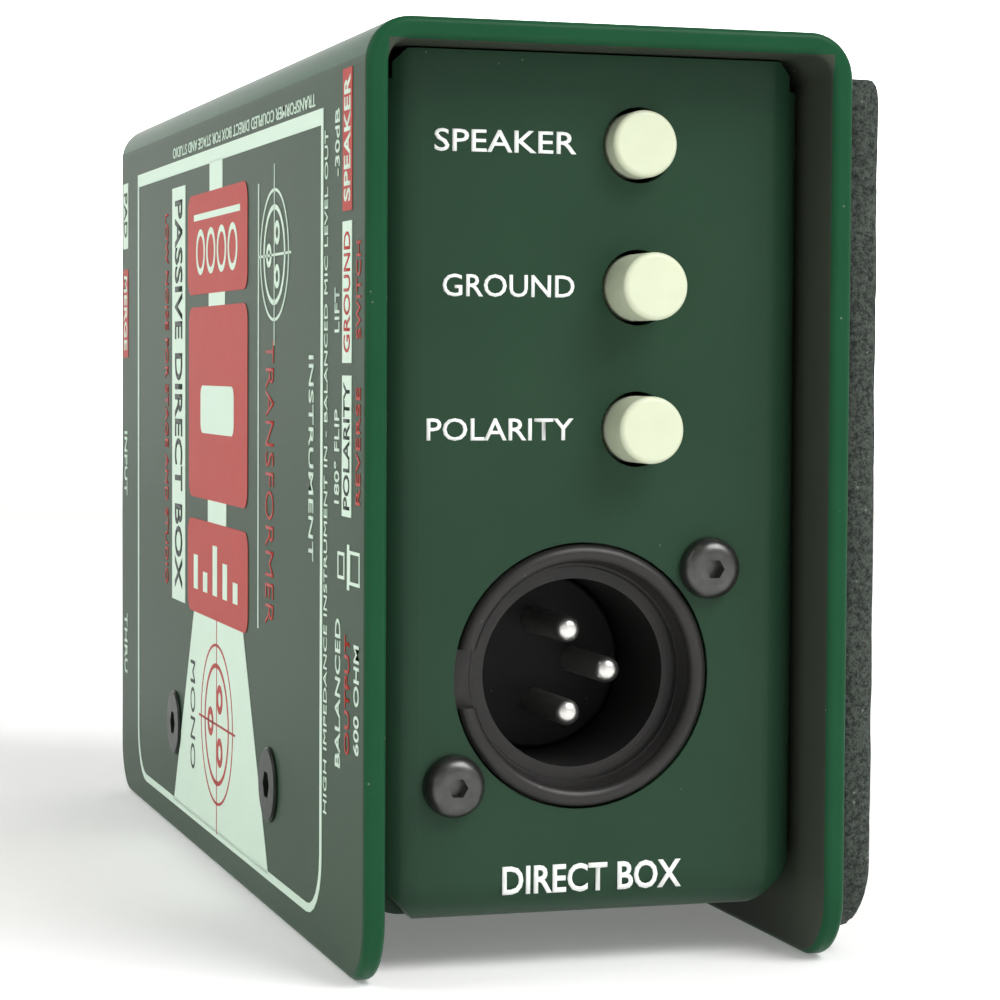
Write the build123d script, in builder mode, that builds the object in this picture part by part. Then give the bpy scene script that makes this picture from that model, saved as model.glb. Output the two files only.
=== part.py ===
"""Passive direct injection box for stage and studio audio, built as its separate pieces.

A folded steel cover in the shape of a book end slides over a folded steel chassis. The chassis
carries every part: a balanced three-pin output and three push switches at the front, two jacks
and two push switches at the rear, and one circuit board with the transformer between them.

Frame: millimetres, +Z up, -Y out of the output end, +Y out of the jack end, +X out of the padded
side. The origin is in the middle of the outer box, on the surface that the cover stands on.
"""

import os

from build123d import *

os.makedirs("parts", exist_ok=True)

# Cover: one sheet folded into a deep U, open below and at both ends
cover_width = 45.0
cover_depth = 127.0
cover_height = 84.0
sheet = 2.0
bend_outer = 4.0
free_corner = 6.0
soft_edge = 0.7

# Chassis: one folded tray with an end panel at each end
recess = 5.2
slip = 0.2
under_gap = 4.5
top_gap = 0.2
end_flange = 14.0
foot_flange_height = 15.5
foot_flange_length = 76.0
flange_top_step = 2.6
corner_notch = 1.2
corner_relief = 4.4

# Fasteners that hold the cover to the chassis
cover_screw_pitch = 50.8
cover_screw_height = 12.7
cover_screw_dia = 4.0
cover_screw_length = 6.5
cover_head_dia = 7.4
cover_head_height = 0.4
cover_head_bevel = 0.2
cover_head_gap = 0.03
cover_socket = 2.5
cover_socket_depth = 1.5
sink_above = 0.5
dome_share = 0.8
socket_share = 0.7
screw_clearance = 0.2
thread_gap = 0.03
nut_body_dia = 7.0
nut_body_length = 2.4
nut_collar_dia = 5.4

# No-slip pad on one side of the cover
pad_thickness = 3.8
pad_end_margin = 2.0
pad_top_margin = 3.5
pad_bottom_margin = 1.4
pad_top_corner = 1.5
pad_bottom_corner = 8.0
pad_edge = 0.4
pad_screw_hole_dia = 10.0

# Circuit board, standing parallel to the cover's sides
board_thickness = 1.6
board_from_pad_side = 10.2
board_end_gap = 6.5
board_bottom = 9.0
board_top = 79.0
solder_tail = 1.5
pin_hole_dia = 1.3

# Push switches with latching action
button_pitch = 12.7
button_top_height = 73.9
button_right_of_middle = 3.9
button_hole_dia = 6.8
cap_dia = 6.0
cap_length = 9.0
cap_socket = 5.0
cap_edge = 0.5
stem = 3.0
collar_dia = 6.0
collar_thickness = 0.8
collar_depth = 4.8
latch_travel = 2.7
full_travel = 3.5
housing_front = 13.0
housing_length = 20.0
housing_height = 9.8
housing_wall = 1.4
housing_over_stem = 4.6
slider_width = 4.8
slider_height = 5.8
slider_length = 11.0
slide_gap = 0.2
spring_wire = 0.35
spring_radius = 2.5
spring_turns = 5
terminal_width = 0.8
terminal_thick = 0.6
terminal_embed = 3.0
terminal_pitch = 5.0
terminal_row = 5.0

# Balanced output: three-pin panel connector turned a quarter turn, its key to the plain side
xlr_left_of_middle = 1.1
xlr_height = 26.4
xlr_hole_gap = 0.2
xlr_ring_dia = 23.6
xlr_ring_proud = 0.5
xlr_rim_wall = 1.3
xlr_ledge_wall = 2.15
xlr_bore_wall = 3.25
xlr_rim_depth = 0.9
xlr_ledge_depth = 2.7
xlr_floor_depth = 14.5
xlr_back_depth = 20.5
xlr_barrel_step = 0.8
xlr_flange_gap = 0.2
xlr_flange_short = 26.0
xlr_flange_thick = 2.6
xlr_flange_corner = 3.0
xlr_screw_long = 24.0
xlr_screw_short = 19.0
xlr_key_width = 5.2
xlr_key_depth = 1.6
xlr_pin_circle = 3.81
xlr_pin_dia = 2.4
xlr_pin_tip_depth = 3.6
xlr_insert_fit = 0.02
small_screw_dia = 3.0
small_screw_length = 5.0
small_head_dia = 5.6
small_head_height = 1.7
small_socket = 1.6

# Jacks for a 6.35 mm plug, one above the other in the rear panel
jack_heights = {"input": 41.6, "thru": 18.7}
jack_bore_dia = 6.5
jack_edge = 0.4
bushing_dia = 9.4
bushing_proud = 3.8
bushing_inside = 5.0
bushing_flange_dia = 12.0
panel_hole_clearance = 0.2
jack_nut_flats = 12.7
jack_nut_thick = 2.4
washer_dia = 14.0
washer_thick = 0.6
jack_body_length = 28.0
jack_body_height = 15.6
jack_body_beyond = 8.3
jack_room_width = 9.2
jack_room_height = 8.4
jack_back_wall = 1.6
contact_thick = 0.5
contact_width = 2.6
contact_from_axis = 3.4

# Transformer in a drawn screening can, standing on the board
can_dia = 28.6
can_wall = 0.8
can_height = 28.0
can_edge = 2.0
can_centre_y = -5.0
can_centre_z = 25.0
base_thick = 3.0
base_fit = 0.05
core_width = 20.0
core_height = 16.0
core_stack = 8.0
core_leg = 6.0
core_side = 3.0
core_lift = 5.0
bobbin_wall = 0.6
bobbin_play = 0.1
bobbin_flange = 0.8
winding_build = 1.4
winding_gap = 0.1
can_pin_dia = 1.0
can_pin_circle = 9.0
can_pin_count = 7

# Small components on the board
resistor_count = 6
resistor_pitch = 7.0
resistor_dia = 2.3
resistor_length = 6.4
resistor_span = 10.2
resistor_height = 64.0
lead_size = 0.6
lead_reach = 1.8
capacitor_length = 18.0
capacitor_width = 6.0
capacitor_tall = 11.0
capacitor_height = 48.0
capacitor_edge = 0.6

# Places that follow from the sizes above
middle_x = (cover_head_height - pad_thickness) / 2
cover_left = middle_x - cover_width / 2
cover_right = middle_x + cover_width / 2
bend_inner = bend_outer - sheet
chassis_width = cover_width - 2 * (sheet + slip)
chassis_top = cover_height - sheet - top_gap
chassis_end = cover_depth / 2 - recess
button_x = middle_x + button_right_of_middle
xlr_x = middle_x - xlr_left_of_middle
xlr_hole_dia = xlr_ring_dia + 2 * xlr_hole_gap
xlr_rim_inner_dia = xlr_ring_dia - 2 * xlr_rim_wall
xlr_ledge_dia = xlr_ring_dia - 2 * xlr_ledge_wall
xlr_bore_dia = xlr_ring_dia - 2 * xlr_bore_wall
xlr_barrel_dia = xlr_ring_dia - 2 * xlr_barrel_step
xlr_flange_long = chassis_width - 2 * (bend_outer + xlr_left_of_middle + xlr_flange_gap)
board_x = cover_right - board_from_pad_side
board_far = board_x + board_thickness
board_face = Plane(origin=(board_x, 0, 0), x_dir=(0, 1, 0), z_dir=(1, 0, 0))
side_signs = (-1, 1)
can_axis_face = Plane(
    origin=(board_x, can_centre_y, can_centre_z), x_dir=(0, 0, 1), z_dir=(-1, 0, 0)
)


def save(piece, name):
    """Names a finished piece and writes it as one file."""
    piece.part.label = name
    export_step(piece.part, f"parts/{name}.step")


def outward(end):
    """Sign of Y that leads out of the box at that end."""
    return -1 if end == "front" else 1


def end_plane(end, x, z, depth=0.0):
    """Plane parallel to an end panel, facing out, this deep behind the panel's outer face."""
    out = outward(end)
    return Plane(
        origin=(x, out * (chassis_end - depth), z), x_dir=(-out, 0, 0), z_dir=(0, out, 0)
    )


def side_plane(side, x):
    """Plane parallel to a side of the cover, facing out, with (along Y, up) as its first two."""
    return Plane(origin=(x, 0, 0), x_dir=(0, side, 0), z_dir=(side, 0, 0))


cover_screw_points = [
    (along * cover_screw_pitch / 2, cover_screw_height) for along in side_signs
]
chassis_side = {side: middle_x + side * chassis_width / 2 for side in side_signs}
cover_side = {-1: cover_left, 1: cover_right}
button_heights = {
    "speaker": button_top_height,
    "ground": button_top_height - button_pitch,
    "polarity": button_top_height - 2 * button_pitch,
    "pad": button_top_height,
    "merge": button_top_height - button_pitch,
}
button_ends = {
    "speaker": "front",
    "ground": "front",
    "polarity": "front",
    "pad": "rear",
    "merge": "rear",
}
# How far each cap stands out of its panel, and how far its latch already holds it in
cap_proud = {"speaker": 2.0, "ground": 5.0, "polarity": 4.3, "pad": 4.7, "merge": 4.7}
latched_in = {"speaker": latch_travel, "ground": 0, "polarity": 0, "pad": 0, "merge": 0}

# Output connector: pins on the vertical, one to the right, and two screws on a diagonal
pin_places = {
    1: (0, xlr_pin_circle),
    2: (0, -xlr_pin_circle),
    3: (xlr_pin_circle, 0),
}
xlr_screw_points = [
    (sign * xlr_screw_long / 2, sign * xlr_screw_short / 2) for sign in side_signs
]


def terminal_points(switch):
    """Places (along Y, up) of a switch's six terminals on the board."""
    middle = outward(button_ends[switch]) * (chassis_end - housing_front - housing_length / 2)
    return [
        (middle + column * terminal_pitch, button_heights[switch] + row * terminal_row / 2)
        for column in (-1, 0, 1)
        for row in side_signs
    ]


def contact_depths(contact):
    """Depths behind the rear panel where a jack contact starts and ends."""
    if contact == "tip":
        return 17.0, 26.0
    return bushing_inside, bushing_inside + 3.5


def dome_screw(dia, length, head_dia, head_height, socket):
    """One button-head screw, its head standing on the origin and its shank below."""
    with BuildPart() as screw:
        with BuildSketch():
            Circle(head_dia / 2)
        extrude(amount=head_height)
        fillet(screw.edges().sort_by(Axis.Z)[-1], head_height * dome_share)
        with BuildSketch():
            Circle(dia / 2)
        extrude(amount=-length)
        with BuildSketch(Plane.XY.offset(head_height)):
            RegularPolygon(socket / 2, 6, major_radius=False)
        extrude(amount=-head_height * socket_share, mode=Mode.SUBTRACT)
    return screw.part


def flush_screw():
    """One countersunk cover screw, the wide end of its cone on the origin and its shank below."""
    shank, head = cover_screw_dia / 2, cover_head_dia / 2
    with BuildPart() as screw:
        with BuildSketch(Plane.XZ):
            with BuildLine():
                Polyline(
                    (0, -cover_screw_length),
                    (shank, -cover_screw_length),
                    (shank, shank - head),
                    (head, 0),
                    (head, cover_head_height - cover_head_bevel),
                    (head - cover_head_bevel, cover_head_height),
                    (0, cover_head_height),
                    close=True,
                )
            make_face()
        revolve(axis=Axis.Z)
        with BuildSketch(Plane.XY.offset(cover_head_height)):
            RegularPolygon(cover_socket / 2, 6, major_radius=False)
        extrude(amount=-cover_socket_depth, mode=Mode.SUBTRACT)
    return screw.part


def screw_sink():
    """What is cut from the cover for one countersunk screw."""
    hole = cover_screw_dia / 2 + screw_clearance
    mouth = cover_head_dia / 2 + cover_head_gap
    with BuildPart() as sink:
        with BuildSketch(Plane.XZ):
            with BuildLine():
                Polyline(
                    (0, -sheet - sink_above),
                    (hole, -sheet - sink_above),
                    (hole, hole - mouth),
                    (mouth, 0),
                    (mouth, sink_above),
                    (0, sink_above),
                    close=True,
                )
            make_face()
        revolve(axis=Axis.Z)
    return sink.part


def make_cover():
    """Cover sheet with its two long bends, rounded free corners and four screw holes."""
    with BuildPart() as cover_shell:
        with BuildSketch(Plane.XY):
            with Locations((middle_x, 0)):
                Rectangle(cover_width, cover_depth)
        extrude(amount=cover_height)
        ridge = cover_shell.edges().filter_by(Axis.Y).group_by(Axis.Z)[-1]
        fillet(ridge, bend_outer)
        with BuildSketch(Plane.XY):
            with Locations((middle_x, 0)):
                Rectangle(cover_width - 2 * sheet, cover_depth)
        extrude(amount=cover_height - sheet, mode=Mode.SUBTRACT)
        under_ridge = cover_shell.edges().filter_by(Axis.Y).filter_by(
            lambda edge: abs(edge.center().Z - (cover_height - sheet)) < sheet / 4
            and abs(abs(edge.center().X - middle_x) - (cover_width / 2 - sheet)) < sheet / 4
        )
        fillet(under_ridge, bend_inner)
        feet = cover_shell.edges().filter_by(Axis.X).group_by(Axis.Z)[0]
        fillet(feet, free_corner)
        ends = cover_shell.faces().sort_by(Axis.Y)
        fillet(ends[0].edges() + ends[-1].edges(), soft_edge)
        sink = screw_sink()
        for side in side_signs:
            seat = side_plane(side, cover_side[side]).location
            with Locations(*[seat * Location((side * y, z, 0)) for y, z in cover_screw_points]):
                add(sink, mode=Mode.SUBTRACT)
    save(cover_shell, "cover_shell")


def make_chassis():
    """Folded tray: end panels with side flanges, a floor with foot flanges, and every hole."""
    height = chassis_top - under_gap
    flange_gap = 2 * (chassis_end - end_flange)
    with BuildPart() as inner_chassis:
        with BuildSketch(Plane.XY.offset(under_gap)):
            with Locations((middle_x, 0)):
                Rectangle(chassis_width, 2 * chassis_end)
        extrude(amount=height)
        folds = inner_chassis.edges().filter_by(Axis.Z)
        floor_folds = inner_chassis.faces().sort_by(Axis.Z)[0].edges()
        fillet(folds + floor_folds, bend_outer)
        offset(amount=-sheet, openings=inner_chassis.faces().sort_by(Axis.Z)[-1])
        # Open sides above the floor, between the end flanges
        with BuildSketch(Plane.XY.offset(under_gap + foot_flange_height)):
            with Locations((middle_x, 0)):
                Rectangle(chassis_width, flange_gap)
        extrude(amount=height, mode=Mode.SUBTRACT)
        # Gaps between the foot flanges and the end flanges
        gap_length = (flange_gap - foot_flange_length) / 2
        for along in side_signs:
            gap_middle = along * (foot_flange_length + gap_length) / 2
            with BuildSketch(Plane.XY.offset(under_gap + bend_outer)):
                with Locations((middle_x, gap_middle)):
                    Rectangle(chassis_width, gap_length)
            extrude(amount=height, mode=Mode.SUBTRACT)
        for side in side_signs:
            edge = chassis_side[side]
            # Top corners of the end panels: a chamfer, then a step down to the side flanges
            step = edge - side * (bend_outer - 2 * corner_notch)
            with BuildSketch(Plane.XZ):
                with BuildLine():
                    Polyline(
                        (edge, chassis_top),
                        (step - side * corner_notch, chassis_top),
                        (step, chassis_top - corner_notch),
                        (step, chassis_top - flange_top_step),
                        (edge, chassis_top - flange_top_step),
                        close=True,
                    )
                make_face()
            extrude(amount=chassis_end, both=True, mode=Mode.SUBTRACT)
            # Diagonal reliefs where three folds would meet
            for end in side_signs:
                with BuildSketch(Plane.XZ.offset(end * chassis_end)):
                    with BuildLine():
                        Polyline(
                            (edge, under_gap),
                            (edge - side * corner_relief, under_gap),
                            (edge, under_gap + corner_relief),
                            close=True,
                        )
                    make_face()
                extrude(amount=-end * (bend_outer + sheet), mode=Mode.SUBTRACT)
            with BuildSketch(side_plane(side, edge)):
                with Locations(*[(side * y, z) for y, z in cover_screw_points]):
                    Circle(nut_collar_dia / 2 + thread_gap)
            extrude(amount=-sheet, mode=Mode.SUBTRACT)
        for switch, button_height in button_heights.items():
            with BuildSketch(end_plane(button_ends[switch], button_x, button_height)):
                Circle(button_hole_dia / 2)
            extrude(amount=-sheet, mode=Mode.SUBTRACT)
        with BuildSketch(end_plane("front", xlr_x, xlr_height)):
            Circle(xlr_hole_dia / 2)
            with Locations(*xlr_screw_points):
                Circle(small_screw_dia / 2 + screw_clearance)
        extrude(amount=-sheet, mode=Mode.SUBTRACT)
        for jack_height in jack_heights.values():
            with BuildSketch(end_plane("rear", middle_x, jack_height)):
                Circle(bushing_dia / 2 + panel_hole_clearance)
            extrude(amount=-sheet, mode=Mode.SUBTRACT)
    save(inner_chassis, "inner_chassis")


def make_pad():
    """Foam pad on one side, with two holes over the cover screws."""
    length = cover_depth - 2 * pad_end_margin
    low = pad_bottom_margin
    high = cover_height - pad_top_margin
    with BuildPart() as no_slip_pad:
        with BuildSketch(side_plane(1, cover_right)):
            with Locations((0, (low + high) / 2)):
                Rectangle(length, high - low)
        extrude(amount=pad_thickness)
        corners = no_slip_pad.edges().filter_by(Axis.X).group_by(Axis.Z)
        fillet(corners[-1], pad_top_corner)
        fillet(corners[0], pad_bottom_corner)
        fillet(no_slip_pad.faces().sort_by(Axis.X)[-1].edges(), pad_edge)
        with BuildSketch(side_plane(1, cover_right)):
            with Locations(*cover_screw_points):
                Circle(pad_screw_hole_dia / 2)
        extrude(amount=pad_thickness, mode=Mode.SUBTRACT)
    save(no_slip_pad, "no_slip_pad")


def make_cover_fasteners():
    """Four cover screws and the clinch nuts that they screw into."""
    screw = flush_screw()
    with BuildPart() as cover_screws:
        for side in side_signs:
            seat = side_plane(side, cover_side[side]).location
            with Locations(*[seat * Location((side * y, z, 0)) for y, z in cover_screw_points]):
                add(screw)
    save(cover_screws, "cover_screws")

    with BuildPart() as clinch_nuts:
        for side in side_signs:
            plane = side_plane(side, chassis_side[side])
            points = [(side * y, z) for y, z in cover_screw_points]
            with BuildSketch(plane):
                with Locations(*points):
                    Circle(nut_collar_dia / 2)
            extrude(amount=-sheet)
            with BuildSketch(plane.offset(-sheet)):
                with Locations(*points):
                    Circle(nut_body_dia / 2)
            extrude(amount=-nut_body_length)
            with BuildSketch(plane):
                with Locations(*points):
                    Circle(cover_screw_dia / 2 + thread_gap)
            extrude(amount=-(sheet + nut_body_length), mode=Mode.SUBTRACT)
    save(clinch_nuts, "clinch_nuts")


def make_switch(switch):
    """One push switch: cap, plunger, return spring, housing and terminals."""
    end = button_ends[switch]
    out = outward(end)
    board_side = -out
    height = button_heights[switch]
    cap_rear = cap_length - cap_proud[switch]
    collar_front = collar_depth + latched_in[switch]
    slider_front = housing_front + housing_wall + slide_gap + latched_in[switch]
    out_axis = Axis((0, 0, 0), (0, out, 0))

    def at(depth):
        return end_plane(end, button_x, height, depth)

    with BuildPart() as cap:
        with BuildSketch(at(cap_rear)):
            Circle(cap_dia / 2)
        extrude(amount=cap_length)
        fillet(cap.faces().sort_by(out_axis)[-1].edges(), cap_edge)
        with BuildSketch(at(cap_rear)):
            Rectangle(stem, stem)
        extrude(amount=cap_socket, mode=Mode.SUBTRACT)
    save(cap, f"{switch}_button_cap")

    with BuildPart() as plunger:
        with BuildSketch(at(slider_front)):
            Rectangle(stem, stem)
        extrude(amount=slider_front - cap_rear + cap_socket)
        with BuildSketch(at(collar_front + collar_thickness)):
            Circle(collar_dia / 2)
        extrude(amount=collar_thickness)
        with BuildSketch(at(slider_front + slider_length)):
            Rectangle(slider_width, slider_height)
        extrude(amount=slider_length)
    save(plunger, f"{switch}_switch_plunger")

    spring_length = housing_front - collar_front - collar_thickness
    coil_height = spring_length - spring_wire
    with BuildPart() as spring:
        with BuildLine() as coil:
            Helix(
                pitch=coil_height / spring_turns,
                height=coil_height,
                radius=spring_radius,
                center=at(housing_front - spring_wire / 2).origin,
                direction=(0, out, 0),
            )
        with BuildSketch(Plane(origin=coil.line @ 0, z_dir=coil.line % 0)):
            Circle(spring_wire / 2)
        sweep(path=coil.line, is_frenet=True)
    save(spring, f"{switch}_return_spring")

    housing_width = housing_over_stem + board_x - button_x
    housing_middle = board_side * (housing_width / 2 - housing_over_stem)
    room_width = slider_width + 2 * slide_gap
    room_height = slider_height + 2 * slide_gap
    room_length = slider_length + full_travel + 3 * slide_gap
    with BuildPart() as housing:
        with BuildSketch(at(housing_front + housing_length)):
            with Locations((housing_middle, 0)):
                Rectangle(housing_width, housing_height)
        extrude(amount=housing_length)
        with BuildSketch(at(housing_front + housing_wall + room_length)):
            Rectangle(room_width, room_height)
        extrude(amount=room_length, mode=Mode.SUBTRACT)
        with BuildSketch(at(housing_front + housing_wall)):
            Rectangle(stem + 2 * slide_gap, stem + 2 * slide_gap)
        extrude(amount=housing_wall, mode=Mode.SUBTRACT)
        with BuildSketch(board_face.offset(-terminal_embed)):
            with Locations(*terminal_points(switch)):
                Rectangle(terminal_width, terminal_thick)
        extrude(amount=terminal_embed, mode=Mode.SUBTRACT)
    save(housing, f"{switch}_switch_housing")

    with BuildPart() as terminals:
        with BuildSketch(board_face.offset(-terminal_embed)):
            with Locations(*terminal_points(switch)):
                Rectangle(terminal_width, terminal_thick)
        extrude(amount=terminal_embed + board_thickness + solder_tail)
    save(terminals, f"{switch}_switch_terminals")


def make_output_connector():
    """Three-pin output: cast shell, insulating insert, pins, solder tails and two screws."""

    def at(depth):
        return end_plane("front", xlr_x, xlr_height, depth)

    ring = xlr_ring_dia / 2
    rim_inner = xlr_rim_inner_dia / 2
    rim_middle = (ring + rim_inner) / 2
    axis_plane = Plane(origin=at(0).origin, x_dir=(1, 0, 0), z_dir=(0, 0, 1))
    with BuildPart() as xlr_shell:
        with BuildSketch(axis_plane):
            with BuildLine():
                ThreePointArc(
                    (rim_inner, xlr_rim_depth),
                    (rim_middle, -xlr_ring_proud),
                    (ring, xlr_rim_depth - xlr_ring_proud),
                )
                Polyline(
                    (ring, xlr_rim_depth - xlr_ring_proud),
                    (ring, sheet),
                    (xlr_barrel_dia / 2, sheet),
                    (xlr_barrel_dia / 2, xlr_back_depth),
                    (xlr_bore_dia / 2, xlr_back_depth),
                    (xlr_bore_dia / 2, xlr_ledge_depth),
                    (xlr_ledge_dia / 2, xlr_ledge_depth),
                    (rim_inner, xlr_rim_depth),
                )
            make_face()
        revolve(axis=Axis(at(0).origin, (0, 1, 0)))
        with BuildSketch(at(sheet + xlr_flange_thick)):
            RectangleRounded(xlr_flange_long, xlr_flange_short, xlr_flange_corner)
            Circle((xlr_bore_dia + xlr_barrel_dia) / 4, mode=Mode.SUBTRACT)
            with Locations(*xlr_screw_points):
                Circle(small_screw_dia / 2 + thread_gap, mode=Mode.SUBTRACT)
        extrude(amount=xlr_flange_thick)
        with BuildSketch(at(xlr_key_depth)):
            with Locations((-ring, 0)):
                Rectangle(2 * (ring - xlr_bore_dia / 2 + slip), xlr_key_width)
        extrude(amount=xlr_key_depth + xlr_ring_proud + slip, mode=Mode.SUBTRACT)
    save(xlr_shell, "xlr_shell")

    with BuildPart() as xlr_insert:
        with BuildSketch(at(xlr_back_depth)):
            Circle(xlr_bore_dia / 2 - xlr_insert_fit)
            with Locations(*pin_places.values()):
                Circle(xlr_pin_dia / 2 + xlr_insert_fit, mode=Mode.SUBTRACT)
        extrude(amount=xlr_back_depth - xlr_floor_depth)
        fillet(xlr_insert.faces().sort_by(Axis.Y)[0].outer_wire().edges(), cap_edge)
    save(xlr_insert, "xlr_insert")

    for number, (x, z) in pin_places.items():
        with BuildPart() as pin:
            with BuildSketch(end_plane("front", xlr_x + x, xlr_height + z, xlr_back_depth)):
                Circle(xlr_pin_dia / 2)
            extrude(amount=xlr_back_depth - xlr_pin_tip_depth)
            fillet(pin.faces().sort_by(Axis.Y)[0].edges(), xlr_pin_dia * 0.42)
        save(pin, f"xlr_pin_{number}")

    with BuildPart() as xlr_solder_tails:
        for x, z in pin_places.values():
            start = xlr_x + x - xlr_pin_dia / 2
            with BuildSketch(end_plane("front", 0, xlr_height + z, xlr_back_depth + terminal_width)):
                with Locations(((start + board_far + solder_tail) / 2, 0)):
                    Rectangle(board_far + solder_tail - start, terminal_width)
            extrude(amount=terminal_width)
    save(xlr_solder_tails, "xlr_solder_tails")

    screw = dome_screw(
        small_screw_dia, small_screw_length, small_head_dia, small_head_height, small_socket
    )
    with BuildPart() as xlr_screws:
        with Locations(*[at(0).location * Location((x, z, 0)) for x, z in xlr_screw_points]):
            add(screw)
    save(xlr_screws, "xlr_screws")


def make_jack(jack):
    """One jack: body, threaded bushing, nut, washer, and its tip and sleeve contacts."""
    height = jack_heights[jack]

    def at(depth):
        return end_plane("rear", middle_x, height, depth)

    def contact_corners(contact):
        """Bent strip seen from above: a foot beside the plug and a leg into the board."""
        near, far = contact_depths(contact)
        foot_y = chassis_end - near
        leg_y = chassis_end - far
        inner = middle_x + contact_from_axis
        tail_end = board_far + solder_tail
        return [
            (inner, foot_y),
            (inner + contact_thick, foot_y),
            (inner + contact_thick, leg_y + contact_thick),
            (tail_end, leg_y + contact_thick),
            (tail_end, leg_y),
            (inner, leg_y),
        ]

    with BuildPart() as bushing:
        with BuildSketch(at(bushing_inside)):
            Circle(bushing_dia / 2)
        extrude(amount=bushing_inside + bushing_proud)
        with BuildSketch(at(sheet + 1)):
            Circle(bushing_flange_dia / 2)
        extrude(amount=1)
        chamfer(bushing.faces().sort_by(Axis.Y)[-1].edges(), jack_edge)
        with BuildSketch(at(bushing_inside)):
            Circle(jack_bore_dia / 2)
        extrude(amount=bushing_inside + bushing_proud, mode=Mode.SUBTRACT)
    save(bushing, f"{jack}_jack_bushing")

    with BuildPart() as washer:
        with BuildSketch(at(0)):
            Circle(washer_dia / 2)
            Circle(bushing_dia / 2 + panel_hole_clearance, mode=Mode.SUBTRACT)
        extrude(amount=washer_thick)
    save(washer, f"{jack}_jack_washer")

    with BuildPart() as nut:
        with BuildSketch(at(-washer_thick)):
            RegularPolygon(jack_nut_flats / 2, 6, major_radius=False)
        extrude(amount=jack_nut_thick)
        chamfer(nut.faces().sort_by(Axis.Y)[-1].edges(), jack_edge)
        with BuildSketch(at(-washer_thick)):
            Circle(bushing_dia / 2 + thread_gap)
        extrude(amount=jack_nut_thick, mode=Mode.SUBTRACT)
    save(nut, f"{jack}_jack_nut")

    body_front = sheet + 1
    body_width = jack_body_beyond + board_x - middle_x
    body_middle = -(body_width / 2 - jack_body_beyond)
    room_end = body_front + jack_body_length - jack_back_wall
    with BuildPart() as body:
        with BuildSketch(at(body_front + jack_body_length)):
            with Locations((body_middle, 0)):
                Rectangle(body_width, jack_body_height)
        extrude(amount=jack_body_length)
        with BuildSketch(at(room_end)):
            Rectangle(jack_room_width, jack_room_height)
        extrude(amount=room_end - bushing_inside, mode=Mode.SUBTRACT)
        with BuildSketch(at(bushing_inside)):
            Circle(bushing_dia / 2 + thread_gap)
        extrude(amount=bushing_inside - body_front, mode=Mode.SUBTRACT)
        for contact in ("tip", "sleeve"):
            with BuildSketch(Plane.XY.offset(height - contact_width / 2)):
                with BuildLine():
                    Polyline(*contact_corners(contact), close=True)
                make_face()
            extrude(amount=contact_width, mode=Mode.SUBTRACT)
    save(body, f"{jack}_jack_body")

    for contact in ("tip", "sleeve"):
        with BuildPart() as strip:
            with BuildSketch(Plane.XY.offset(height - contact_width / 2)):
                with BuildLine():
                    Polyline(*contact_corners(contact), close=True)
                make_face()
            extrude(amount=contact_width)
        save(strip, f"{jack}_jack_{contact}_contact")


def can_pin_points():
    """Places (along Y, up) of the transformer's pins on the board."""
    spread = PolarLocations(can_pin_circle, can_pin_count)
    return [
        (can_centre_y + place.position.Y, can_centre_z + place.position.X) for place in spread
    ]


def resistor_points():
    """Places along Y of the resistors, centred over the transformer."""
    first = can_centre_y - resistor_pitch * (resistor_count - 1) / 2
    return [first + number * resistor_pitch for number in range(resistor_count)]


def make_board():
    """Circuit board with holes for everything that is soldered into it."""
    board_length = 2 * (chassis_end - board_end_gap)
    pins = [point for switch in button_heights for point in terminal_points(switch)]
    tail_y = -chassis_end + xlr_back_depth + terminal_width / 2
    pins += [(tail_y, xlr_height + z) for _, z in pin_places.values()]
    pins += can_pin_points()
    for y in resistor_points():
        pins += [(y, resistor_height + end * resistor_span / 2) for end in side_signs]
    for end in side_signs:
        pins.append((can_centre_y + end * (capacitor_length / 2 - lead_reach), capacitor_height))
    slots = []
    for height in jack_heights.values():
        for contact in ("tip", "sleeve"):
            leg_y = chassis_end - contact_depths(contact)[1]
            slots.append((leg_y + contact_thick / 2, height))
    with BuildPart() as main_board:
        with BuildSketch(board_face):
            with Locations((0, (board_bottom + board_top) / 2)):
                Rectangle(board_length, board_top - board_bottom)
            with Locations(*pins):
                Circle(pin_hole_dia / 2, mode=Mode.SUBTRACT)
            with Locations(*slots):
                Rectangle(contact_thick + slip, contact_width + slip, mode=Mode.SUBTRACT)
        extrude(amount=board_thickness)
    save(main_board, "main_board")


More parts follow.
